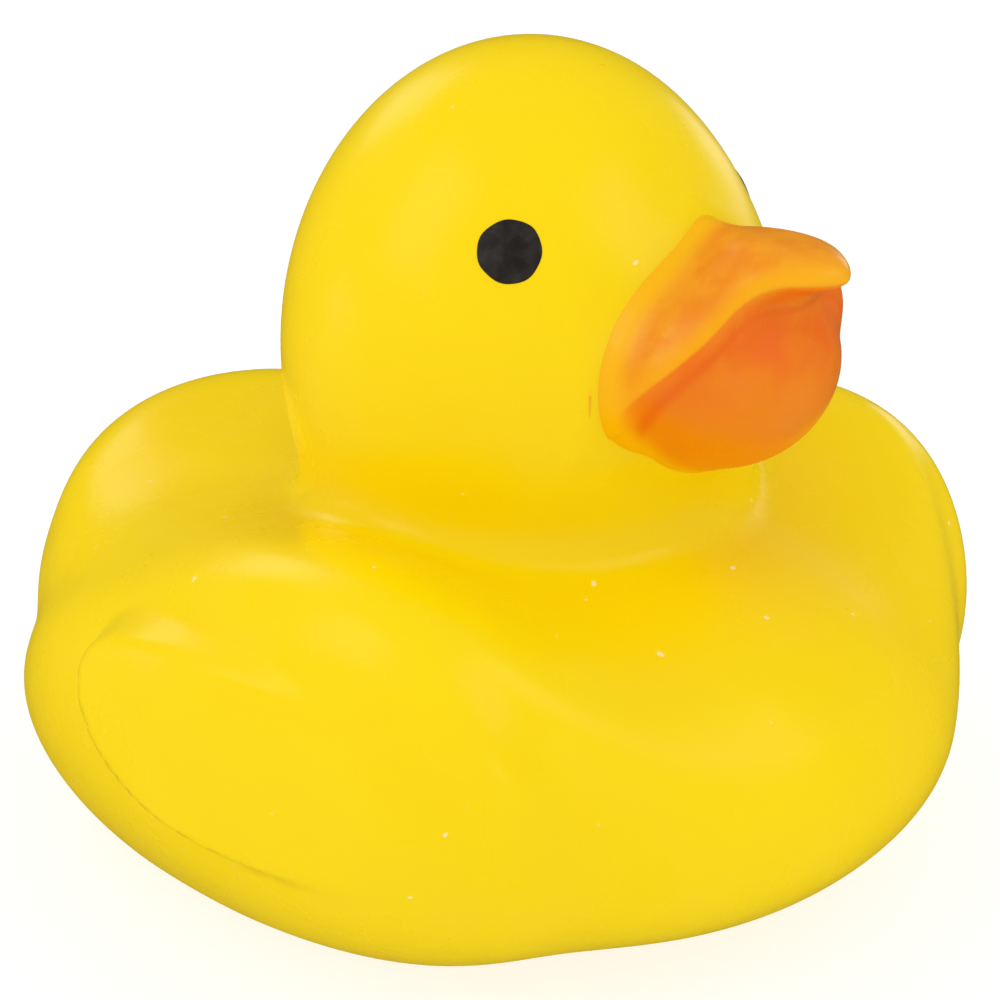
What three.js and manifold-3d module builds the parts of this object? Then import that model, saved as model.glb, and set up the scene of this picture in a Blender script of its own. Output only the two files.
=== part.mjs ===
// Floating chlorine dispenser in the shape of a bath duck.
// Millimetres, +Z up, the duck looks along -Y. The origin is the middle of the overall box, on the
// flat ring that the duck stands on. A hollow vinyl duck holds a rigid canister in its underside;
// tablets stand in the canister on a screw cap whose slots open and close with a turning dial.
import * as THREE from 'three';
import { mergeVertices } from 'three/addons/utils/BufferGeometryUtils.js';
import Module from 'manifold-3d';

// Duck skin: each form is an ellipsoid given by its middle and its half-axes.
const HEAD = { middle: [0, -11.5, 81.6], radii: [39.9, 37.8, 48.1] };
const TRUNK = { middle: [0, -8.8, 26.6], radii: [64.3, 75, 36], plan: 2.09, section: 1.99 };
const TAIL = { middle: [0, 46.4, 32.7], radii: [44.8, 37.2, 19.5], plan: 2, section: 3.04, tilt: 23.8 };
const SHOULDER = { middle: [48.3, -7.8, 30.6], radii: [12.9, 46.9, 26.2], pitch: -31.8, lean: 20.5, toe: -2 };
// Wing: an oval on each flank, proud of the skin by its height. Its edge is crisp at the back and
// fades out towards the chest; side is how far out it starts.
const WING = { middle: [-25.2, 40], radii: [38, 13, 17.3], turn: 7.4, height: 3, edge: 3.4 };
const WING_FADE = [-42, -2];
const WING_SIDE = [25, 45];
const UPPER_BILL = {
  reach: [16.3, 22.7], root: -46.9, middle: 100.6, half: 3.14, crown: 1.85,
  front: 102.3, side: 86.2, rise: 25.4, bend: 0.8, plan: 1.37, edge: 2.14,
};
const LOWER_BILL = { middle: [0, -51.3, 86.2], radii: [19.1, 13.7, 14.5], tilt: -2.8 };
const EYE = { middle: [28.4, -32.8, 105.8], radius: 4.8, height: 1.4 };
const RIM_BLEND = 4;
const TAIL_BLEND = 12.2;
const SHOULDER_BLEND = 30;
const NECK_BLEND = 7.3;
const WALL = 2.5;
const SKIN_STEP = 9;

// Underside opening, on a vertical axis through the middle of the trunk.
const AXIS_Y = -7.6;
const HOLE_RADIUS = 37.5;
const RECESS_RADIUS = 42;
const RIM_RADIUS = 46.5;
const LIP = { low: 3.5, high: 6 };

// Canister that the lip grips, and the chamber inside it.
const GAP = 0.3;
const GROOVE_RADIUS = HOLE_RADIUS - GAP;
const FLANGE_RADIUS = 41.2;
const FLANGE = { low: 1, high: LIP.low - GAP };
const CHAMBER_RADIUS = 31.5;
const CUP_WALL = 2.4;
const CUP_TOP = 51.2;
const GASKET = { inner: HOLE_RADIUS, outer: 40.8, low: LIP.high + GAP, high: 7.6 };
const UPPER_FLANGE = { low: GASKET.high + GAP, high: 9.9 };
const BALLAST = { inner: CHAMBER_RADIUS + CUP_WALL + 0.4, outer: 41, low: 10.2, high: 16.2, chamfer: 0.8 };

// Screw cap, its thread and its seal.
const LEAD = 6;
const CAP = { flange: 33.7, skirt: 29.8, bore: 27.3, low: 1, shoulder: 3, floor: 11, top: 13 };
const NECK_LOW = 4.8;
const COUNTERBORE_RADIUS = CAP.flange + 0.5;
const RIDGE = { height: 1.2, root: 1.2, rootWidth: 2.2, crestWidth: 1.3 };
const NECK_RIDGE = { start: 6.6, turns: 1 };
const CAP_RIDGE = { start: 5, turns: 1.1 };
const O_RING = { radius: 32.8, section: 0.6 };
const SLOT = { count: 6, width: 3.5, length: 11, radius: 17.5 };
const RIB = { width: 2.4, length: 19, height: 1.5 };
const LUG = { count: 4, width: 5, depth: 4, height: 6 };

// Dial under the cap floor, and the rivet that it turns on.
const DIAL = { radius: 26.3, low: 8.3, high: CAP.floor - GAP };
const GRIP = { length: 40, width: 4, low: 2.5, hub: 7 };
const PIN = { shaft: 2.5, head: 4.3, low: 4.4, lowHead: 5.9, highHead: 13.4, high: 14.2 };
const COUNTERSINK = { radius: 4.8, top: 6.2 };

// Tablets: 27 mm across and 14 mm thick, three to a layer.
const TABLET = { radius: 13.5, height: 14, bevel: 1, ring: 16, perLayer: 3, layers: 2, first: 14.9 };

const ROUND = 40;
const wasm = await Module();
wasm.setup();

// ---- distance fields ----
const degrees = (angle) => angle * Math.PI / 180;
const turn = (a, b, angle) => {
  const c = Math.cos(degrees(angle));
  const s = Math.sin(degrees(angle));
  return [a * c + b * s, b * c - a * s];
};
const blend = (a, b, width) => {
  const overlap = Math.max(width - Math.abs(a - b), 0) / width;
  return Math.min(a, b) - overlap * overlap * width / 4;
};

function ellipsoid([x, y, z], [rx, ry, rz]) {
  const near = Math.hypot(x / rx, y / ry, z / rz);
  const slope = Math.hypot(x / rx ** 2, y / ry ** 2, z / rz ** 2);
  return near * (near - 1) / Math.max(slope, 1e-9);
}

function squareEllipsoid([x, y, z], [rx, ry, rz], plan, section) {
  const across = (Math.abs(x / rx) ** plan + Math.abs(y / ry) ** plan) ** (1 / plan);
  const whole = (across ** section + Math.abs(z / rz) ** section) ** (1 / section);
  return (whole - 1) * Math.min(rx, ry, rz) * 0.9;
}

const from = (form, [x, y, z]) => [x - form.middle[0], y - form.middle[1], z - form.middle[2]];

function tail(point) {
  const [x, y, z] = from(TAIL, point);
  const [ty, tz] = turn(y, z, TAIL.tilt);
  return squareEllipsoid([x, ty, tz], TAIL.radii, TAIL.plan, TAIL.section);
}

function shoulder(point) {
  let [x, y, z] = from(SHOULDER, point);
  [x, y] = turn(x, y, SHOULDER.toe);
  [z, x] = turn(z, x, SHOULDER.lean);
  [y, z] = turn(y, z, SHOULDER.pitch);
  return ellipsoid([x, y, z], SHOULDER.radii);
}

function ramp(value, low, high) {
  const share = Math.min(Math.max((value - low) / (high - low), 0), 1);
  return share * share * (3 - 2 * share);
}

function wing([x, y, z]) {
  const [along, across] = turn(y - WING.middle[0], z - WING.middle[1], WING.turn);
  const [long, above, below] = WING.radii;
  const high = across > 0 ? above : below;
  const near = Math.hypot(along / long, across / high);
  const slope = Math.hypot(along / long ** 2, across / high ** 2);
  const outside = near * (near - 1) / Math.max(slope, 1e-6);
  const inside = 1 - ramp(outside, -WING.edge / 2, WING.edge / 2);
  return WING.height * inside * ramp(y, ...WING_FADE) * ramp(x, ...WING_SIDE);
}

function duck([x, y, z]) {
  const point = [Math.abs(x), y, z];
  const trunk = squareEllipsoid(from(TRUNK, point), TRUNK.radii, TRUNK.plan, TRUNK.section);
  const body = blend(blend(trunk, tail(point), TAIL_BLEND), shoulder(point), SHOULDER_BLEND);
  const head = ellipsoid(from(HEAD, point), HEAD.radii);
  return blend(body - wing(point), head, NECK_BLEND);
}

function normalOf(field, point) {
  const reach = 0.05;
  const slope = [0, 1, 2].map((axis) => {
    const ahead = [...point];
    const behind = [...point];
    ahead[axis] += reach;
    behind[axis] -= reach;
    return (field(ahead) - field(behind)) / (2 * reach);
  });
  const steep = Math.hypot(...slope);
  return { direction: slope.map((part) => part / steep), steep };
}

function ontoSkin(field, point, offset) {
  let place = point;
  for (let pass = 0; pass < 4; pass += 1) {
    const { direction, steep } = normalOf(field, place);
    const distance = field(place) / steep;
    place = place.map((part, axis) => part - direction[axis] * distance);
  }
  const { direction } = normalOf(field, place);
  return place.map((part, axis) => part + direction[axis] * offset);
}

// Closed mesh of a field's zero surface: one corner in each crossed cell of a grid, pulled onto the
// surface and then moved along its normal by the offset.
function skinOf(field, low, high, step, offset = 0) {
  const size = [0, 1, 2].map((axis) => Math.ceil((high[axis] - low[axis]) / step) + 1);
  const node = (i, j, k) => [low[0] + i * step, low[1] + j * step, low[2] + k * step];
  const slot = (i, j, k) => (i * size[1] + j) * size[2] + k;
  const value = new Float64Array(size[0] * size[1] * size[2]);
  const everyCell = (visit) => {
    for (let i = 0; i < size[0]; i += 1) {
      for (let j = 0; j < size[1]; j += 1) {
        for (let k = 0; k < size[2]; k += 1) visit(i, j, k);
      }
    }
  };
  everyCell((i, j, k) => { value[slot(i, j, k)] = field(node(i, j, k)); });

  const corners = new Map();
  const positions = [];
  const cornerOf = (i, j, k) => {
    const key = slot(i, j, k);
    if (!corners.has(key)) {
      corners.set(key, positions.length / 3);
      positions.push(...ontoSkin(field, crossingOf(i, j, k), offset));
    }
    return corners.get(key);
  };
  const crossingOf = (i, j, k) => {
    const sum = [0, 0, 0];
    let count = 0;
    for (let edge = 0; edge < 12; edge += 1) {
      const axis = edge % 3;
      const start = [0, 0, 0];
      start[(axis + 1) % 3] = Math.floor(edge / 3) % 2;
      start[(axis + 2) % 3] = Math.floor(edge / 6);
      const end = [...start];
      end[axis] = 1;
      const a = value[slot(i + start[0], j + start[1], k + start[2])];
      const b = value[slot(i + end[0], j + end[1], k + end[2])];
      if ((a < 0) === (b < 0)) continue;
      const share = a / (a - b);
      const here = node(i + start[0], j + start[1], k + start[2]);
      here[axis] += share * step;
      here.forEach((part, at) => { sum[at] += part; });
      count += 1;
    }
    return sum.map((part) => part / count);
  };

  const faces = [];
  everyCell((i, j, k) => {
    if (i === 0 || j === 0 || k === 0) return;
    [[1, 0, 0], [0, 1, 0], [0, 0, 1]].forEach((way, axis) => {
      if (i + way[0] >= size[0] || j + way[1] >= size[1] || k + way[2] >= size[2]) return;
      const inside = value[slot(i, j, k)] < 0;
      if (inside === (value[slot(i + way[0], j + way[1], k + way[2])] < 0)) return;
      const round = [[-1, -1], [0, -1], [0, 0], [-1, 0]].map(([u, v]) => {
        const cell = [i, j, k];
        cell[(axis + 1) % 3] += u;
        cell[(axis + 2) % 3] += v;
        return cornerOf(...cell);
      });
      const [a, b, c, d] = inside ? round : round.reverse();
      faces.push(a, b, c, a, c, d);
    });
  });
  const geometry = new THREE.BufferGeometry();
  geometry.setAttribute('position', new THREE.Float32BufferAttribute(positions, 3));
  geometry.setIndex(faces);
  return geometry;
}

// ---- solids ----
function solidOf(geometry) {
  const bare = new THREE.BufferGeometry();
  bare.setAttribute('position', geometry.getAttribute('position'));
  bare.setIndex(geometry.getIndex());
  const whole = mergeVertices(bare, 1e-4);
  const mesh = new wasm.Mesh({
    numProp: 3,
    vertProperties: new Float32Array(whole.getAttribute('position').array),
    triVerts: new Uint32Array(whole.getIndex().array),
  });
  return new wasm.Manifold(mesh);
}

function geometryOf(solid) {
  const { vertProperties, triVerts } = solid.getMesh();
  const geometry = new THREE.BufferGeometry();
  geometry.setAttribute('position', new THREE.BufferAttribute(new Float32Array(vertProperties), 3));
  geometry.setIndex(new THREE.BufferAttribute(new Uint32Array(triVerts), 1));
  return geometry;
}

const joined = (solids) => solids.reduce((whole, next) => whole.add(next));

// A ring or cup turned about the dispenser's axis from a closed outline of [radius, height] points.
function turned(outline, segments = ROUND) {
  const points = outline.map(([radius, height]) => new THREE.Vector2(radius, height));
  const geometry = new THREE.LatheGeometry(points, segments);
  geometry.rotateX(Math.PI / 2);
  return geometry.translate(0, AXIS_Y, 0);
}

const closed = (outline) => [...outline, outline[0]];
const disc = (radius, low, high) => turned([[0, low], [radius, low], [radius, high], [0, high]]);

function ring(inner, outer, low, high, chamfer = 0) {
  return turned(closed([
    [inner, low], [outer - chamfer, low], [outer, low + chamfer],
    [outer, high - chamfer], [outer - chamfer, high], [inner, high],
  ].filter((point, at, all) => at === 0 || point.join() !== all[at - 1].join())));
}

// A box whose near end is at the given radius from the axis, turned about the axis.
function spoke({ length, width, low, high, radius, angle }) {
  const box = new THREE.BoxGeometry(length, width, high - low);
  box.translate(radius, 0, (low + high) / 2).rotateZ(degrees(angle));
  return solidOf(box.translate(0, AXIS_Y, 0));
}

const around = (count, first, make) => (
  Array.from({ length: count }, (_, at) => make(first + at * 360 / count))
);

// A right-hand thread ridge: a trapezium carried round the axis, one lead up for each turn.
function helicalRidge(rootRadius, crestRadius, start, turns, firstAngle) {
  const steps = Math.round(turns * ROUND);
  const half = RIDGE.rootWidth / 2;
  const crest = RIDGE.crestWidth / 2;
  const section = [[rootRadius, -half], [crestRadius, -crest], [crestRadius, crest], [rootRadius, half]];
  const positions = [];
  const faces = [];
  for (let at = 0; at <= steps; at += 1) {
    const angle = degrees(firstAngle + at * 360 / ROUND);
    const rise = start + LEAD * at / ROUND;
    section.forEach(([radius, height]) => {
      positions.push(radius * Math.cos(angle), AXIS_Y + radius * Math.sin(angle), rise + height);
    });
    if (at === steps) continue;
    for (let side = 0; side < 4; side += 1) {
      const a = at * 4 + side;
      const b = at * 4 + (side + 1) % 4;
      faces.push(a, a + 4, b, b, a + 4, b + 4);
    }
  }
  const end = steps * 4;
  faces.push(0, 1, 2, 0, 2, 3, end, end + 2, end + 1, end, end + 3, end + 2);
  if (crestRadius < rootRadius) faces.reverse();
  const geometry = new THREE.BufferGeometry();
  geometry.setAttribute('position', new THREE.Float32BufferAttribute(positions, 3));
  geometry.setIndex(faces);
  return solidOf(geometry);
}

// ---- the parts ----
const SKIN_LOW = [-SKIN_STEP * 10.5, -100, -20];
const SKIN_HIGH = [SKIN_STEP * 10.5, 100, 145];
const skin = (offset) => skinOf(duck, SKIN_LOW, SKIN_HIGH, SKIN_STEP, offset);
const below = (height) => {
  const slab = new THREE.BoxGeometry(400, 400, 100);
  return solidOf(slab.translate(0, 0, height - 50));
};

function duckShell() {
  const outside = solidOf(skin(0)).subtract(below(0));
  const hollow = solidOf(skin(-WALL)).subtract(below(WALL));
  const rim = solidOf(ring(HOLE_RADIUS - 1, RIM_RADIUS, WALL / 2, LIP.high));
  const recess = solidOf(disc(RECESS_RADIUS, -1, LIP.low));
  const hole = solidOf(disc(HOLE_RADIUS, -1, LIP.high + 1));
  return geometryOf(outside.subtract(hollow).add(rim).subtract(recess).subtract(hole));
}

const norm = (a, b, power) => (Math.abs(a) ** power + Math.abs(b) ** power) ** (1 / power);

// A ball with each of its corners moved by the given rule.
function moulded(move) {
  const ball = new THREE.SphereGeometry(1, 28, 16).rotateX(Math.PI / 2);
  const place = ball.getAttribute('position');
  for (let at = 0; at < place.count; at += 1) {
    place.setXYZ(at, ...move([place.getX(at), place.getY(at), place.getZ(at)]));
  }
  return solidOf(ball);
}

// A plate with a rounded rim, high at the front and low at the sides, and fuller on top.
function upperBill([x, y, z]) {
  const { reach, root, middle, half, crown, front, side, rise, bend, plan, edge } = UPPER_BILL;
  const out = Math.max(norm(x, y, plan), 1e-6);
  const whole = norm(out, z, edge);
  const share = out / whole;
  const rim = blend(front, side + rise * Math.max(-y, 0) / out, RIM_BLEND) - middle;
  const lift = share ** 2 / Math.hypot(share, 0.3) ** (2 - bend);
  const steep = Math.sqrt(1 + 0.6 * (2 * rim * share / reach[0]) ** 2);
  const thick = half * steep * (z > 0 ? crown : 1);
  const height = middle + rim * lift + thick * z / whole;
  return [reach[0] * x / whole, root + reach[1] * y / whole, height];
}

// An ellipsoid tilted about X.
function lowerBill(point) {
  const { middle, radii, tilt } = LOWER_BILL;
  const [x, flatY, flatZ] = point.map((part, axis) => part * radii[axis]);
  const [y, z] = turn(flatY, flatZ, -tilt);
  return [x, middle[1] + y, middle[2] + z];
}

const beak = () => (
  geometryOf(moulded(upperBill).add(moulded(lowerBill)).subtract(solidOf(skin(0.4))))
);

// A low dome standing square on the head.
function eye(side) {
  const profile = [[0, 0], [EYE.radius, 0], [EYE.radius * 0.8, EYE.height * 0.65], [0, EYE.height]];
  const points = profile.map(([radius, height]) => new THREE.Vector2(radius, height));
  const dome = new THREE.LatheGeometry(points, 20);
  const seat = ontoSkin(duck, EYE.middle, GAP);
  const out = normalOf(duck, seat).direction;
  const tilt = new THREE.Quaternion().setFromUnitVectors(
    new THREE.Vector3(0, 1, 0),
    new THREE.Vector3(side * out[0], out[1], out[2]),
  );
  return dome.applyQuaternion(tilt).translate(side * seat[0], seat[1], seat[2]);
}

function canister() {
  const outer = CHAMBER_RADIUS + CUP_WALL;
  const cup = turned([
    [0, CUP_TOP - CUP_WALL], [CHAMBER_RADIUS, CUP_TOP - CUP_WALL], [CHAMBER_RADIUS, NECK_LOW],
    [COUNTERBORE_RADIUS, NECK_LOW], [COUNTERBORE_RADIUS, FLANGE.low], [FLANGE_RADIUS, FLANGE.low],
    [FLANGE_RADIUS, FLANGE.high], [GROOVE_RADIUS, FLANGE.high], [GROOVE_RADIUS, UPPER_FLANGE.low],
    [FLANGE_RADIUS, UPPER_FLANGE.low], [FLANGE_RADIUS, UPPER_FLANGE.high],
    [outer, UPPER_FLANGE.high], [outer, CUP_TOP - 2], [outer - 2, CUP_TOP], [0, CUP_TOP],
  ]);
  const ridge = helicalRidge(
    CHAMBER_RADIUS + RIDGE.root - 0.4,
    CHAMBER_RADIUS - RIDGE.height,
    NECK_RIDGE.start,
    NECK_RIDGE.turns,
    0,
  );
  return geometryOf(solidOf(cup).add(ridge));
}

const slotCuts = () => around(SLOT.count, 180 / SLOT.count, (angle) => spoke({
  length: SLOT.length, width: SLOT.width, low: DIAL.low - 1, high: CAP.top + 1,
  radius: SLOT.radius, angle,
}));

function ventCap() {
  const cup = turned(closed([
    [CAP.bore, CAP.low], [CAP.flange, CAP.low], [CAP.flange, CAP.shoulder],
    [CAP.skirt, CAP.shoulder], [CAP.skirt, CAP.top], [PIN.shaft + 0.4, CAP.top],
    [PIN.shaft + 0.4, CAP.floor], [CAP.bore, CAP.floor],
  ]));
  const phase = 360 * (CAP_RIDGE.start - NECK_RIDGE.start + LEAD / 2) / LEAD;
  const ridge = helicalRidge(
    CAP.skirt - 0.4,
    CAP.skirt + RIDGE.height,
    CAP_RIDGE.start,
    CAP_RIDGE.turns,
    phase,
  );
  const ribs = around(SLOT.count, 0, (angle) => spoke({
    length: RIB.length, width: RIB.width, low: CAP.top - 0.5, high: CAP.top + RIB.height,
    radius: SLOT.radius, angle,
  }));
  const lugs = around(LUG.count, 45, (angle) => spoke({
    length: LUG.depth, width: LUG.width, low: CAP.low + 0.5, high: CAP.low + LUG.height,
    radius: CAP.bore - LUG.depth / 2 + 0.8, angle,
  }));
  const cap = joined([solidOf(cup), ridge, ...ribs, ...lugs]);
  return geometryOf(cap.subtract(joined(slotCuts())));
}

function ventDial() {
  const plate = solidOf(ring(PIN.shaft + GAP, DIAL.radius, DIAL.low, DIAL.high));
  const bar = spoke({
    length: GRIP.length, width: GRIP.width, low: GRIP.low, high: DIAL.low + 0.5, radius: 0, angle: 0,
  });
  const hub = solidOf(disc(GRIP.hub, GRIP.low, DIAL.low + 0.5));
  const countersink = solidOf(disc(COUNTERSINK.radius, GRIP.low - 1, COUNTERSINK.top));
  const bore = solidOf(disc(PIN.shaft + GAP, GRIP.low, DIAL.high + 1));
  const dial = joined([plate, bar, hub]).subtract(countersink).subtract(bore);
  return geometryOf(dial.subtract(joined(slotCuts())));
}

const dialPin = () => turned([
  [0, PIN.low], [PIN.head, PIN.low], [PIN.head, PIN.lowHead], [PIN.shaft, PIN.lowHead],
  [PIN.shaft, PIN.highHead], [PIN.head, PIN.highHead], [PIN.head, PIN.high], [0, PIN.high],
], 24);

function capORing() {
  const height = (CAP.shoulder + NECK_LOW) / 2;
  const torus = new THREE.TorusGeometry(O_RING.radius, O_RING.section, 5, ROUND);
  return torus.translate(0, AXIS_Y, height);
}

function tablet(layer, place) {
  const angle = degrees(place * 360 / TABLET.perLayer + layer * 60);
  const low = TABLET.first + layer * (TABLET.height + GAP);
  const high = low + TABLET.height;
  const { radius, bevel } = TABLET;
  const pill = turned([
    [0, low], [radius - bevel, low], [radius, low + bevel],
    [radius, high - bevel], [radius - bevel, high], [0, high],
  ], 24);
  return pill.translate(TABLET.ring * Math.cos(angle), TABLET.ring * Math.sin(angle), 0);
}

// ---- assembly ----
const material = (color, roughness, metalness = 0) => (
  new THREE.MeshStandardMaterial({ color, roughness, metalness })
);
const dispenser = new THREE.Group();
dispenser.name = 'duck_chlorine_dispenser';

function place(name, geometry, finish) {
  const mesh = new THREE.Mesh(geometry, finish);
  mesh.name = name;
  dispenser.add(mesh);
}

place('duck_shell', duckShell(), material(0xfbdc00, 0.4));
place('beak', beak(), material(0xf08a12, 0.45));
place('right_eye', eye(-1), material(0x2e271f, 0.6));
place('left_eye', eye(1), material(0x2e271f, 0.6));
place('tablet_canister', canister(), material(0xf2f2ee, 0.5));
place('canister_gasket', ring(GASKET.inner, GASKET.outer, GASKET.low, GASKET.high), material(0x2a2a2c, 0.8));
place('ballast_ring', ring(BALLAST.inner, BALLAST.outer, BALLAST.low, BALLAST.high, BALLAST.chamfer),
  material(0xa9adb0, 0.35, 1));
place('vent_cap', ventCap(), material(0xf2f2ee, 0.5));
place('cap_o_ring', capORing(), material(0x2a2a2c, 0.7));
place('vent_dial', ventDial(), material(0x2f7fc4, 0.45));
place('dial_pin', dialPin(), material(0xe9e9e4, 0.5));
for (let layer = 0; layer < TABLET.layers; layer += 1) {
  for (let at = 0; at < TABLET.perLayer; at += 1) {
    const number = layer * TABLET.perLayer + at + 1;
    place(`tablet_${number}`, tablet(layer, at), material(0xf4f4f0, 0.95));
  }
}

export default dispenser;
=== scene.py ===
"""Looks of the duck-shaped chlorine dispenser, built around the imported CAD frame."""

import math

import bpy
import numpy as np
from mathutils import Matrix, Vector


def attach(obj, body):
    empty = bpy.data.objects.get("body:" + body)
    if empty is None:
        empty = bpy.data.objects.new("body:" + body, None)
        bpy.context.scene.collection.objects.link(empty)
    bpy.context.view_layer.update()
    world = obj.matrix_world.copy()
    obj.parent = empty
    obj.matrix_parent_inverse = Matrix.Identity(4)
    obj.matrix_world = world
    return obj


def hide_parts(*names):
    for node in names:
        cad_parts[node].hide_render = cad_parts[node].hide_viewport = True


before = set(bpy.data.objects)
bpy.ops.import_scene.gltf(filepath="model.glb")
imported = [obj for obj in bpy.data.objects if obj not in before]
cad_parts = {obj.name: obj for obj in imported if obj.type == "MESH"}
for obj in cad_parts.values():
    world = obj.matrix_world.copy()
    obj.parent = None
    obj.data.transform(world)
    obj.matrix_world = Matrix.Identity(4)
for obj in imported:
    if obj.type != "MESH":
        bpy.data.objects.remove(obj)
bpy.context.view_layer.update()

# Millimetres below, in the row frame; MM turns them into scene units.
MM = 0.001

# Forms of the duck. Each has a middle and half-axes.
HEAD = {"middle": (0, -11.5, 81.6), "radii": (39.9, 37.8, 48.1)}
TRUNK = {"middle": (0, -8.8, 26.6), "radii": (64.3, 75, 36), "plan": 2.09, "section": 1.99}
TAIL = {"middle": (0, 46.4, 32.7), "radii": (44.8, 37.2, 19.5), "plan": 2, "section": 3.04, "tilt": 23.8}
SHOULDER = {
    "middle": (48.3, -7.8, 30.6), "radii": (12.9, 46.9, 26.2), "pitch": -31.8, "lean": 20.5, "toe": -2,
}
# Wing: an oval on the flank, deeper below its middle than above. It stands proud of the skin by its
# height, which fades towards the duck's front (in y) and towards the middle of its back (in x).
WING = {"middle": (-25.2, 40), "radii": (38, 13, 17.3), "turn": 7.4, "height": 3, "edge": 3.4}
WING_FADE = (-42, -2)
WING_SIDE = (25, 45)
# Upper bill: a plate with a rounded rim. Reach is its half-width and its length from the root, half is
# its half-thickness, crown how much fuller it is on top. Its middle surface goes from the middle height
# at the root to the front and side heights at the rim.
UPPER_BILL = {
    "reach": (16.3, 22.7), "root": -46.9, "middle": 100.6, "half": 3.14, "crown": 1.85,
    "front": 102.3, "side": 86.2, "rise": 25.4, "bend": 0.8, "plan": 1.37, "edge": 2.14,
}
LOWER_BILL = {"middle": (0, -51.3, 86.2), "radii": (19.1, 13.7, 14.5), "tilt": -2.8}
ROOT_ROUND, RIDGE_ROUND = 0.3, 2.0
PLATE_END, PLATE_FADE = 1.3, 1.35
# Factors that bring the bill's fields near to a distance in millimetres.
STEEP_SHARE, PLATE_SLOPE, BEYOND_SLOPE, LEAST_SLOPE = 0.6, 0.9, 0.7, 0.15
# Eye: a thin dome that follows the skin, with an edge that dips into it.
EYE = {"middle": (28.4, -32.8, 105.8), "radius": 4.8, "rise": 0.55, "dip": 0.25, "depth": 0.4}
TAIL_BLEND = 12.2
SHOULDER_BLEND = 30
NECK_BLEND = 7.3
LIP_BLEND = 6.5
RIM_BLEND = 4
BILL_BLEND = 7
BASE_ROUND = 3
# The skin rises at most this much to meet the bill. The bill's own mesh lies just over it near the
# bill, sinks under it past the margin, and reaches this far into the head.
FOOT_RISE, FOOT_ROUND = 1.5, 0.8
PAINT_OVER, PAINT_MARGIN, PAINT_SINK = 0.12, 1.0, 0.4
BILL_DEPTH = 0.8
WALL = 2.5
AXIS_Y = -7.6
HOLE_RADIUS = 37.5
RECESS_RADIUS = 42
RIM_RADIUS = 46.5
LIP_LOW, LIP_HIGH = 3.5, 6.0
PLUG_LOW = -5

SKIN_STEP = 1.3
BILL_STEP = 0.65
HOLLOW_STEP = 3.0


# ---- distance fields, on arrays of points ----
def turn(a, b, angle):
    c, s = math.cos(math.radians(angle)), math.sin(math.radians(angle))
    return a * c + b * s, b * c - a * s


def blend(a, b, width):
    overlap = np.maximum(width - np.abs(a - b), 0) / width
    return np.minimum(a, b) - overlap * overlap * width / 4


def common(a, b, width):
    return -blend(-a, -b, width)


def ellipsoid(x, y, z, radii):
    rx, ry, rz = radii
    near = np.sqrt((x / rx) ** 2 + (y / ry) ** 2 + (z / rz) ** 2)
    slope = np.sqrt((x / rx**2) ** 2 + (y / ry**2) ** 2 + (z / rz**2) ** 2)
    return near * (near - 1) / np.maximum(slope, 1e-9)


def square_ellipsoid(x, y, z, form):
    rx, ry, rz = form["radii"]
    plan, section = form["plan"], form["section"]
    across = (np.abs(x / rx) ** plan + np.abs(y / ry) ** plan) ** (1 / plan)
    whole = (across**section + np.abs(z / rz) ** section) ** (1 / section)
    return (whole - 1) * min(form["radii"]) * 0.9


def from_middle(p, form):
    return [p[..., axis] - form["middle"][axis] for axis in range(3)]


def tail(p):
    x, y, z = from_middle(p, TAIL)
    y, z = turn(y, z, TAIL["tilt"])
    return square_ellipsoid(x, y, z, TAIL)


def shoulder(p):
    x, y, z = from_middle(p, SHOULDER)
    x, y = turn(x, y, SHOULDER["toe"])
    z, x = turn(z, x, SHOULDER["lean"])
    y, z = turn(y, z, SHOULDER["pitch"])
    return ellipsoid(x, y, z, SHOULDER["radii"])


def step(value, low, high):
    share = np.clip((value - low) / (high - low), 0, 1)
    return share * share * (3 - 2 * share)


def wing_edge(p):
    """Distance outside the wing's outline, seen from the side."""
    y, z = p[..., 1] - WING["middle"][0], p[..., 2] - WING["middle"][1]
    along, across = turn(y, z, WING["turn"])
    a, above, below = WING["radii"]
    b = np.where(across > 0, above, below)
    near = np.hypot(along / a, across / b)
    slope = np.hypot(along / a**2, across / b**2)
    return near * (near - 1) / np.maximum(slope, 1e-6)


def wing(p):
    half = WING["edge"] / 2
    inside = 1 - step(wing_edge(p), -half, half)
    return WING["height"] * inside * step(p[..., 1], *WING_FADE) * step(p[..., 0], *WING_SIDE)


def folded(p):
    return np.concatenate([np.abs(p[..., :1]), p[..., 1:]], -1)


def head(p):
    return ellipsoid(*from_middle(p, HEAD), HEAD["radii"])


def body(p):
    trunk = square_ellipsoid(*from_middle(p, TRUNK), TRUNK)
    return blend(blend(trunk, tail(p), TAIL_BLEND), shoulder(p), SHOULDER_BLEND) - wing(p)


def duck(p):
    q = folded(p)
    return common(blend(body(q), head(q), NECK_BLEND), -q[..., 2], BASE_ROUND)


def plate(p):
    """How far out a point is on the upper bill (1 at the rim) and how far above its middle."""
    b = UPPER_BILL
    across = np.hypot(p[..., 0], RIDGE_ROUND) / b["reach"][0]
    along = (b["root"] - p[..., 1]) / b["reach"][1]
    out = (across ** b["plan"] + (np.abs(along) + 1e-6) ** b["plan"]) ** (1 / b["plan"])
    share = np.minimum(out, PLATE_END)
    rim = blend(b["front"], b["side"] + b["rise"] * np.maximum(along, 0) / out, RIM_BLEND) - b["middle"]
    steep = np.sqrt(1 + STEEP_SHARE * (2 * rim * share / b["reach"][0]) ** 2)
    lift = share**2 / np.hypot(share, ROOT_ROUND) ** (2 - b["bend"])
    over = (p[..., 2] - b["middle"] - rim * lift) / steep / b["half"]
    return out, np.where(over > 0, over / b["crown"], over)


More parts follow.
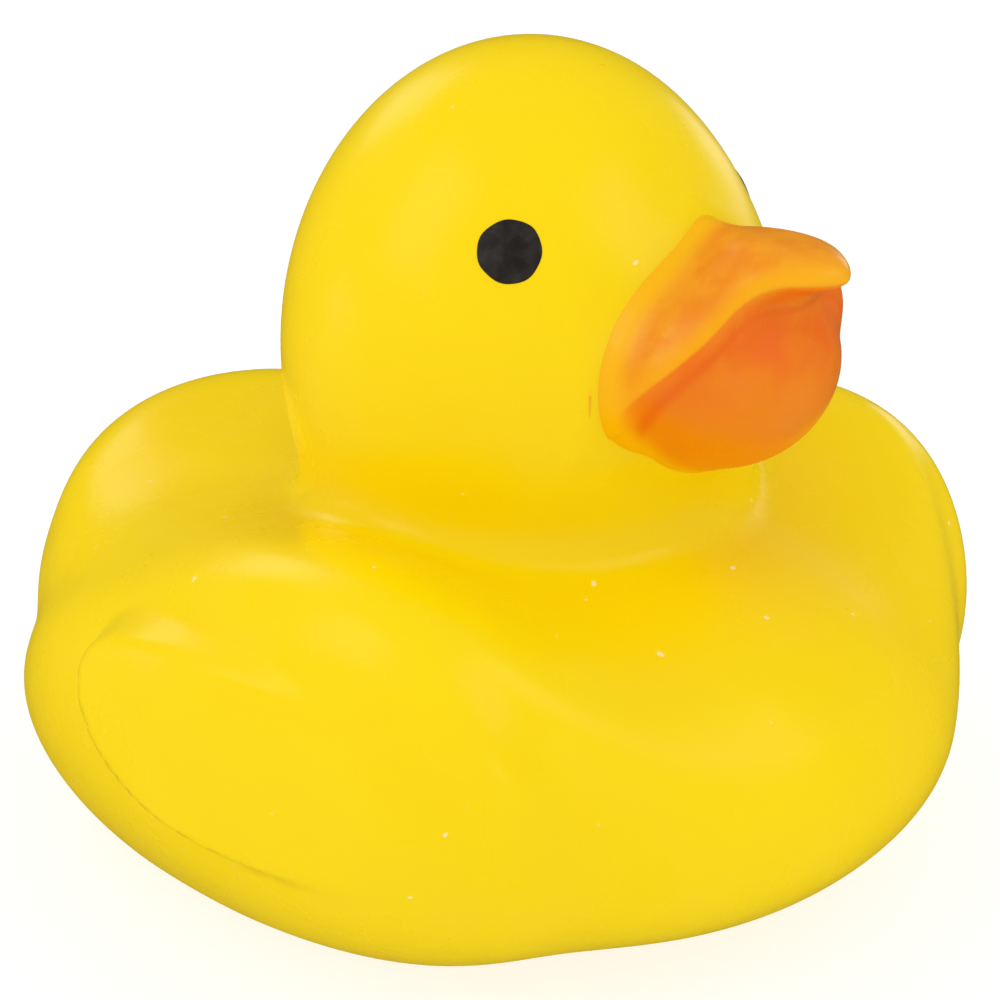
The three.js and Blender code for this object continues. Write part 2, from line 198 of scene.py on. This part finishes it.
def upper_bill(p):
    out, over = plate(p)
    edge = UPPER_BILL["edge"]
    whole = (out**edge + np.abs(over) ** edge) ** (1 / edge)
    beyond = (out - PLATE_FADE) * UPPER_BILL["reach"][0] * BEYOND_SLOPE
    return np.maximum((whole - 1) * UPPER_BILL["half"] * PLATE_SLOPE, beyond)


def lower_bill(p):
    x, y, z = from_middle(p, LOWER_BILL)
    y, z = turn(y, z, LOWER_BILL["tilt"])
    return ellipsoid(x, y, z, LOWER_BILL["radii"])


def bill(p):
    q = folded(p)
    return blend(upper_bill(q), lower_bill(q), LIP_BLEND)


def bill_gap(p):
    """True distance to the bill, near enough."""
    steep = np.sqrt((gradient(bill, p) ** 2).sum(-1))
    return bill(p) / np.maximum(steep, LEAST_SLOPE)


def skin(p):
    """Duck with the small fillet that the bill stands on."""
    flesh = duck(p)
    return common(blend(flesh, bill(p), BILL_BLEND), flesh - FOOT_RISE, FOOT_ROUND)


def bill_piece(p):
    """Bill that sinks under the skin round its foot."""
    flesh, beak = duck(p), bill(p)
    sink = np.clip(bill_gap(p) - PAINT_MARGIN, 0, 10) * PAINT_SINK
    outside = blend(flesh, beak, BILL_BLEND) - PAINT_OVER + sink
    return common(outside, -BILL_DEPTH - flesh, FOOT_ROUND)


def gradient(field, p, reach=0.05):
    steps = np.eye(3) * reach
    return np.stack([(field(p + s) - field(p - s)) / (2 * reach) for s in steps], -1)


def onto(field, p, passes=3):
    for _ in range(passes):
        slope = gradient(field, p)
        p = p - slope * (field(p) / np.maximum((slope**2).sum(-1), 1e-6))[:, None]
    return p


def surface(field, low, high, step, offset=0.0):
    """Quads of a field's zero surface: one corner in each crossed cell, drawn onto the surface."""
    count = [int(math.ceil((b - a) / step)) + 1 for a, b in zip(low, high)]
    axes = [a + step * np.arange(n) for a, n in zip(low, count)]
    value = np.empty(count)
    for i, x in enumerate(axes[0]):
        sheet = np.stack(np.meshgrid([x], axes[1], axes[2], indexing="ij"), -1)
        value[i] = (field(sheet) - offset)[0]
    inside = value < 0
    cells = np.zeros([n - 1 for n in count])
    total = np.zeros([n - 1 for n in count] + [3])
    spans = [slice(0, n - 1) for n in count]
    for axis in range(3):
        other = [a for a in range(3) if a != axis]
        for shift in ((0, 0), (0, 1), (1, 0), (1, 1)):
            a = list(spans)
            for at, move in zip(other, shift):
                a[at] = slice(move, count[at] - 1 + move)
            b = list(a)
            b[axis] = slice(1, count[axis])
            va, vb = value[tuple(a)], value[tuple(b)]
            crossed = (va < 0) != (vb < 0)
            share = np.where(crossed, va / np.where(crossed, va - vb, 1), 0)
            cells += crossed
            total[..., axis] += share
            for at, move in zip(other, shift):
                total[..., at] += crossed * move
    used = cells > 0
    index = -np.ones(cells.shape, int)
    index[used] = np.arange(used.sum())
    start = np.argwhere(used)
    local = total[used] / cells[used][:, None]
    points = np.array(low) + (start + local) * step
    points = onto(lambda p: field(p) - offset, points)
    faces = []
    for axis in range(3):
        u, v = (axis + 1) % 3, (axis + 2) % 3
        a, b = [slice(None)] * 3, [slice(None)] * 3
        a[axis], b[axis] = slice(0, -1), slice(1, None)
        change = inside[tuple(a)] != inside[tuple(b)]
        at = np.argwhere(change)
        at = at[(at[:, u] > 0) & (at[:, v] > 0)]
        at = at[(at[:, u] < count[u] - 1) & (at[:, v] < count[v] - 1)]
        corners = []
        for du, dv in ((-1, -1), (0, -1), (0, 0), (-1, 0)):
            c = at.copy()
            c[:, u] += du
            c[:, v] += dv
            corners.append(index[tuple(c.T)])
        quad = np.stack(corners, -1)
        outward = inside[tuple(at.T)]
        faces.append(np.where(outward[:, None], quad, quad[:, ::-1]))
    return points, np.concatenate(faces)


# ---- meshes ----
def mesh_object(name, points, faces):
    mesh = bpy.data.meshes.new(name)
    mesh.from_pydata([tuple(p) for p in np.asarray(points) * MM], [], [tuple(map(int, f)) for f in faces])
    mesh.validate()
    mesh.update()
    mesh.polygons.foreach_set("use_smooth", [True] * len(mesh.polygons))
    made = bpy.data.objects.new(name, mesh)
    bpy.context.scene.collection.objects.link(made)
    return made


def cut_away(target, tool):
    cut = target.modifiers.new("cut", "BOOLEAN")
    cut.operation, cut.object, cut.solver = "DIFFERENCE", tool, "EXACT"
    depsgraph = bpy.context.evaluated_depsgraph_get()
    done = bpy.data.meshes.new_from_object(target.evaluated_get(depsgraph))
    target.modifiers.clear()
    target.data = done
    bpy.data.objects.remove(tool)


def plug(name, radius, high, segments=128):
    """Round cutter on the dispenser's axis, from under the duck up to the given height."""
    points, faces = [], []
    for height in (PLUG_LOW, high):
        for at in range(segments):
            angle = 2 * math.pi * at / segments
            points.append((radius * math.cos(angle), AXIS_Y + radius * math.sin(angle), height))
    for at in range(segments):
        b = (at + 1) % segments
        faces.append((at, b, segments + b, segments + at))
    faces.append(tuple(range(segments - 1, -1, -1)))
    faces.append(tuple(range(segments, 2 * segments)))
    return mesh_object(name, points, faces)


def vertices(obj):
    co = np.empty(len(obj.data.vertices) * 3)
    obj.data.vertices.foreach_get("co", co)
    return co.reshape(-1, 3) / MM


def mark(obj, name, values):
    layer = obj.data.attributes.new(name, "FLOAT", "POINT")
    layer.data.foreach_set("value", np.asarray(values, np.float32))


def shade_by_angle(obj, angle=35):
    obj.data.polygons.foreach_set("use_smooth", [True] * len(obj.data.polygons))
    obj.data.set_sharp_from_angle(angle=math.radians(angle))


# ---- materials ----
class Nodes:
    """A material's node tree, with short calls to add and join nodes."""

    def __init__(self, name):
        self.material = bpy.data.materials.new(name)
        self.material.use_nodes = True
        self.tree = self.material.node_tree
        self.shader = self.tree.nodes["Principled BSDF"]

    def add(self, kind, **settings):
        node = self.tree.nodes.new(kind)
        for key, value in settings.items():
            setattr(node, key, value)
        return node

    def join(self, out, into):
        self.tree.links.new(out, into)

    def set(self, **values):
        for key, value in values.items():
            self.shader.inputs[key.replace("_", " ")].default_value = value

    def noise(self, scale, detail=3.0, rough=0.5):
        node = self.add("ShaderNodeTexNoise")
        node.inputs["Scale"].default_value = scale
        node.inputs["Detail"].default_value = detail
        node.inputs["Roughness"].default_value = rough
        place = self.add("ShaderNodeTexCoord").outputs["Object"]
        self.join(place, node.inputs["Vector"])
        return node.outputs["Fac"]

    def attribute(self, name):
        return self.add("ShaderNodeAttribute", attribute_name=name).outputs["Fac"]

    def spread(self, value, low, high, to_low=0.0, to_high=1.0):
        """Smooth ramp of a value from one range to another."""
        node = self.add("ShaderNodeMapRange", interpolation_type="SMOOTHSTEP")
        ends = {"From Min": low, "From Max": high, "To Min": to_low, "To Max": to_high}
        for key, number in ends.items():
            node.inputs[key].default_value = number
        self.join(value, node.inputs["Value"])
        return node.outputs["Result"]

    def mix(self, share, a, b):
        node = self.add("ShaderNodeMix", data_type="RGBA")
        self.join(share, node.inputs["Factor"])
        for key, value in (("A", a), ("B", b)):
            socket = [s for s in node.inputs if s.name == key and s.type == "RGBA"][0]
            if isinstance(value, tuple):
                socket.default_value = (*value, 1)
            else:
                self.join(value, socket)
        return [s for s in node.outputs if s.type == "RGBA"][0]

    def colour(self, value):
        self.join(value, self.shader.inputs["Base Color"])

    def rough(self, value):
        self.join(value, self.shader.inputs["Roughness"])

    def bump(self, height, distance):
        node = self.add("ShaderNodeBump")
        node.inputs["Distance"].default_value = distance
        node.inputs["Strength"].default_value = 1.0
        self.join(height, node.inputs["Height"])
        self.join(node.outputs["Normal"], self.shader.inputs["Normal"])


# Base colours, linear.
YELLOW, DEEP_YELLOW = (0.95, 0.69, 0.0), (0.95, 0.67, 0.0)
SPECK, OVERSPRAY, THIN_PAINT = (1.0, 0.80, 0.35), (0.97, 0.36, 0.0), (0.96, 0.48, 0.0)
ORANGE = (0.86, 0.235, 0.004)
LIGHT_ORANGE = (0.90, 0.33, 0.008)
RED_ORANGE = (0.86, 0.145, 0.006)
BULB_ORANGE = (0.86, 0.27, 0.0)
# Deep orange is painted shade for the crease where the upper and lower bill meet.
CREASE_SHADE_ORANGE = (0.83, 0.12, 0.002)
RIM_YELLOW = (0.93, 0.40, 0.0)


def vinyl(name):
    m = Nodes(name)
    m.set(IOR=1.45, Specular_IOR_Level=0.22)
    tone = m.spread(m.noise(22, 2), 0.3, 0.7)
    base = m.mix(tone, YELLOW, DEEP_YELLOW)
    specks = m.spread(m.noise(420, 1, 0.3), 0.80, 0.84)
    base = m.mix(specks, base, SPECK)
    spray = m.spread(m.attribute("to_bill"), 0.2, 2.4, 0.75, 0.0)
    base = m.mix(spray, base, OVERSPRAY)
    m.colour(base)
    m.rough(m.spread(m.noise(60, 4), 0.3, 0.7, 0.24, 0.32))
    m.bump(m.noise(180, 4, 0.55), 0.00006)
    return m.material


def bill_paint(name):
    m = Nodes(name)
    m.set(IOR=1.45, Specular_IOR_Level=0.28)
    over = m.attribute("over")
    bulb = m.mix(m.spread(m.attribute("height"), 0.15, 0.75), BULB_ORANGE, RED_ORANGE)
    cloud = m.spread(m.noise(110, 3), 0.38, 0.66, 0.0, 0.7)
    bulb = m.mix(cloud, bulb, ORANGE)
    # Painted shade: the bill darkens to deep orange along the crease where the upper and lower bill meet.
    crease_shade = m.spread(m.attribute("mouth"), 0.0, 1.6, 0.8, 0.0)
    bulb = m.mix(crease_shade, bulb, CREASE_SHADE_ORANGE)
    band = m.mix(m.spread(m.noise(150, 4, 0.6), 0.35, 0.7), LIGHT_ORANGE, ORANGE)
    band = m.mix(m.spread(over, 0.05, 0.55, 0.75, 0.0), band, RIM_YELLOW)
    base = m.mix(m.spread(over, -0.22, -0.02), bulb, band)
    edge = m.spread(m.attribute("to_bill"), 0.0, 1.6)
    base = m.mix(edge, base, THIN_PAINT)
    m.colour(base)
    m.rough(m.spread(m.noise(90, 4), 0.3, 0.7, 0.25, 0.36))
    m.bump(m.noise(260, 4, 0.6), 0.00008)
    return m.material


def eye_paint(name):
    m = Nodes(name)
    m.set(IOR=1.45, Specular_IOR_Level=0.5)
    tone = m.spread(m.noise(350, 3), 0.35, 0.7)
    m.colour(m.mix(tone, (0.016, 0.012, 0.010), (0.035, 0.028, 0.022)))
    m.rough(m.spread(m.noise(500, 3), 0.3, 0.7, 0.42, 0.6))
    m.bump(m.noise(450, 4, 0.6), 0.00012)
    return m.material


def moulded(name, light, dark, rough=(0.4, 0.52), grain=0.00003):
    m = Nodes(name)
    m.set(IOR=1.49, Specular_IOR_Level=0.4)
    m.colour(m.mix(m.spread(m.noise(40, 3), 0.3, 0.7), light, dark))
    m.rough(m.spread(m.noise(120, 3), 0.3, 0.7, *rough))
    m.bump(m.noise(900, 3, 0.6), grain)
    return m.material


def rubber(name):
    m = Nodes(name)
    m.set(IOR=1.5, Specular_IOR_Level=0.4)
    m.colour(m.mix(m.spread(m.noise(300, 4), 0.3, 0.7), (0.012, 0.012, 0.013), (0.03, 0.03, 0.031)))
    m.rough(m.spread(m.noise(500, 3), 0.3, 0.7, 0.55, 0.75))
    m.bump(m.noise(1500, 3, 0.6), 0.00003)
    return m.material


def steel(name):
    m = Nodes(name)
    m.set(Metallic=1.0)
    m.colour(m.mix(m.spread(m.noise(200, 5, 0.7), 0.3, 0.7), (0.52, 0.53, 0.54), (0.66, 0.67, 0.69)))
    m.rough(m.spread(m.noise(600, 3), 0.3, 0.7, 0.26, 0.42))
    m.bump(m.noise(1200, 3, 0.6), 0.00002)
    return m.material


def powder(name):
    m = Nodes(name)
    m.set(IOR=1.45, Specular_IOR_Level=0.15)
    m.colour(m.mix(m.spread(m.noise(700, 6, 0.7), 0.35, 0.68), (0.86, 0.86, 0.83), (0.95, 0.95, 0.93)))
    m.rough(m.spread(m.noise(900, 3), 0.3, 0.7, 0.85, 1.0))
    m.bump(m.noise(1100, 6, 0.7), 0.00018)
    return m.material


def cover(obj, material):
    obj.data.materials.clear()
    obj.data.materials.append(material)


# ---- the duck ----
SKIN_LOW, SKIN_HIGH = (-83, -93, -5), (83, 93, 136)
BILL_LOW, BILL_HIGH = (-27, -80, 62), (27, -36, 116)
BULB_LOW, BULB_HEIGHT = 72, 30


def make_duck():
    shell = mesh_object("duck_skin", *surface(skin, SKIN_LOW, SKIN_HIGH, SKIN_STEP))
    hollow = mesh_object("hollow", *surface(duck, SKIN_LOW, SKIN_HIGH, HOLLOW_STEP, -WALL))
    cut_away(hollow, plug("rim", RIM_RADIUS, LIP_HIGH))
    cut_away(shell, hollow)
    cut_away(shell, plug("hole", HOLE_RADIUS, LIP_HIGH + 1))
    cut_away(shell, plug("recess", RECESS_RADIUS, LIP_LOW))
    mark(shell, "to_bill", bill_gap(vertices(shell)))
    cover(shell, vinyl("duck_vinyl"))
    shade_by_angle(shell, 40)
    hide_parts("duck_shell")
    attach(shell, "duck")


def make_bill():
    made = mesh_object("bill", *surface(bill_piece, BILL_LOW, BILL_HIGH, BILL_STEP))
    p = vertices(made)
    upper, lower = upper_bill(folded(p)), lower_bill(folded(p))
    mark(made, "to_bill", bill_gap(p))
    mark(made, "mouth", np.abs(upper - lower))
    mark(made, "over", np.where(upper < lower, plate(p)[1], -1.0))
    mark(made, "height", (p[:, 2] - BULB_LOW) / BULB_HEIGHT)
    cover(made, bill_paint("beak_paint"))
    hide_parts("beak")
    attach(made, "duck")


def eye_front(side, rings, segments):
    """Rings of points on the eye's dome from its middle to its edge, and the way that it faces."""
    seat = onto(skin, np.array([[side * EYE["middle"][0], *EYE["middle"][1:]]]))[0]
    out = gradient(skin, seat[None])[0]
    out /= np.linalg.norm(out)
    across = np.cross([0, 0, 1], out)
    across /= np.linalg.norm(across)
    up = np.cross(out, across)
    points = []
    for r in range(rings + 1):
        share = r / rings
        rise = EYE["rise"] * (1 - share**4) - EYE["dip"] * (share == 1)
        for at in range(segments):
            angle = 2 * math.pi * at / segments
            ragged = 1 + 0.012 * math.sin(3 * angle + side) + 0.01 * math.sin(7 * angle + 2)
            reach = EYE["radius"] * share * ragged
            spot = seat + reach * (across * math.cos(angle) + up * math.sin(angle))
            points.append(onto(skin, spot[None])[0] + out * rise)
    return np.array(points), out


def lens_faces(rings, segments):
    """Faces of a front and a back made of rings of points, and of the band between their edges."""
    faces = []
    n = (rings + 1) * segments
    for r in range(rings):
        for at in range(segments):
            a, b = r * segments + at, r * segments + (at + 1) % segments
            c, d = a + segments, b + segments
            faces.append((a, c, d, b))
            faces.append((n + a, n + b, n + d, n + c))
    last = rings * segments
    for at in range(segments):
        a, b = last + at, last + (at + 1) % segments
        faces.append((a, n + a, n + b, b))
    return faces


def make_eye(side, name, node, rings=14, segments=72):
    front, out = eye_front(side, rings, segments)
    back = front - out * EYE["depth"]
    made = mesh_object(name, np.concatenate([front, back]), lens_faces(rings, segments))
    merge = made.modifiers.new("merge", "WELD")
    merge.merge_threshold = 1e-6
    cover(made, EYE_PAINT)
    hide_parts(node)
    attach(made, "duck")


# ---- the dispenser's own pieces keep their CAD shapes ----
def finish_nodes():
    white = moulded("white_polypropylene", (0.84, 0.84, 0.81), (0.76, 0.76, 0.73))
    blue = moulded("blue_polypropylene", (0.03, 0.19, 0.52), (0.02, 0.15, 0.44), (0.32, 0.44))
    black, metal, chalk = rubber("seal_rubber"), steel("zinc_plate"), powder("pressed_powder")
    finishes = {
        "tablet_canister": white, "vent_cap": white, "dial_pin": white, "vent_dial": blue,
        "canister_gasket": black, "cap_o_ring": black, "ballast_ring": metal,
    }
    for number in range(1, 7):
        finishes[f"tablet_{number}"] = chalk
    for name, material in finishes.items():
        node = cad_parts[name]
        cover(node, material)
        shade_by_angle(node)


# ---- studio ----
AIM = (0, -5.6, 52)
VIEW_AZIMUTH, VIEW_ELEVATION, VIEW_DISTANCE = -48.0, 21.2, 345.0
LENS, SENSOR = 75.1, 36.0
SHIFT_Y = 0.009
SKY, SKY_IN_GLOSS = 0.85, 0.06
BOX_BRIGHTNESS, BOX_DISTANCE = 1.5, 1.0
FLOOR_HALF, FLOOR_GAP = 3.0, 0.0002


def direction(azimuth, elevation):
    a, e = math.radians(azimuth), math.radians(elevation)
    return Vector((math.sin(a) * math.cos(e), -math.cos(a) * math.cos(e), math.sin(e)))


def make_camera():
    data = bpy.data.cameras.new("camera")
    data.lens, data.sensor_width, data.shift_y = LENS, SENSOR, SHIFT_Y
    data.clip_start, data.clip_end = 0.01, 20
    camera = bpy.data.objects.new("camera", data)
    bpy.context.scene.collection.objects.link(camera)
    back = direction(VIEW_AZIMUTH, VIEW_ELEVATION)
    camera.location = Vector(AIM) * MM + back * VIEW_DISTANCE * MM
    camera.rotation_euler = (-back).to_track_quat("-Z", "Y").to_euler()
    bpy.context.scene.camera = camera


def make_floor():
    corners = [(x * FLOOR_HALF, y * FLOOR_HALF, 0) for x, y in ((-1, -1), (1, -1), (1, 1), (-1, 1))]
    mesh = bpy.data.meshes.new("floor")
    mesh.from_pydata(corners, [], [(0, 1, 2, 3)])
    floor = bpy.data.objects.new("floor", mesh)
    bpy.context.scene.collection.objects.link(floor)
    m = Nodes("floor")
    m.set(Base_Color=(0.3, 0.3, 0.3, 1), Roughness=0.9, Specular_IOR_Level=0.0)
    m.set(Emission_Color=(1, 1, 1, 1), Emission_Strength=0.75)
    cover(floor, m.material)
    floor.location.z = -FLOOR_GAP
    floor.visible_glossy = False


def softbox(name, azimuth, elevation, width, height):
    """Lamp at one distance from the duck, with the same brightness whatever its size."""
    data = bpy.data.lights.new(name, "AREA")
    data.shape, data.size, data.size_y = "RECTANGLE", width, height
    data.energy = BOX_BRIGHTNESS * math.pi * width * height
    lamp = bpy.data.objects.new(name, data)
    bpy.context.scene.collection.objects.link(lamp)
    toward = direction(azimuth, elevation)
    lamp.location = Vector(AIM) * MM + toward * BOX_DISTANCE
    lamp.rotation_euler = toward.to_track_quat("Z", "Y").to_euler()
    lamp.visible_camera = False


def make_world():
    world = bpy.data.worlds.new("studio")
    bpy.context.scene.world = world
    world.use_nodes = True
    tree = world.node_tree
    even = tree.nodes["Background"]
    even.inputs["Color"].default_value = (1, 1, 1, 1)
    even.inputs["Strength"].default_value = SKY
    dim = tree.nodes.new("ShaderNodeBackground")
    dim.inputs["Strength"].default_value = SKY_IN_GLOSS
    ray = tree.nodes.new("ShaderNodeLightPath")
    either = tree.nodes.new("ShaderNodeMixShader")
    tree.links.new(ray.outputs["Is Glossy Ray"], either.inputs["Fac"])
    tree.links.new(even.outputs[0], either.inputs[1])
    tree.links.new(dim.outputs[0], either.inputs[2])
    tree.links.new(either.outputs[0], tree.nodes["World Output"].inputs["Surface"])


def make_studio():
    make_camera()
    make_floor()
    make_world()
    softbox("left_box", -108, 42, 0.5, 0.7)
    softbox("front_box", 15, 40, 0.42, 0.5)
    softbox("back_box", 168, 35, 0.38, 0.4)
    softbox("right_box", 98, 11, 0.3, 0.25)
    softbox("low_left_box", -140, 5, 0.3, 0.14)
    softbox("low_front_box", -17, 7, 0.2, 0.15)
    bpy.context.scene.view_settings.view_transform = "Standard"


EYE_PAINT = eye_paint("eye_paint")
make_duck()
make_bill()
make_eye(-1, "right_eye_paint", "right_eye")
make_eye(1, "left_eye_paint", "left_eye")
finish_nodes()
make_studio()
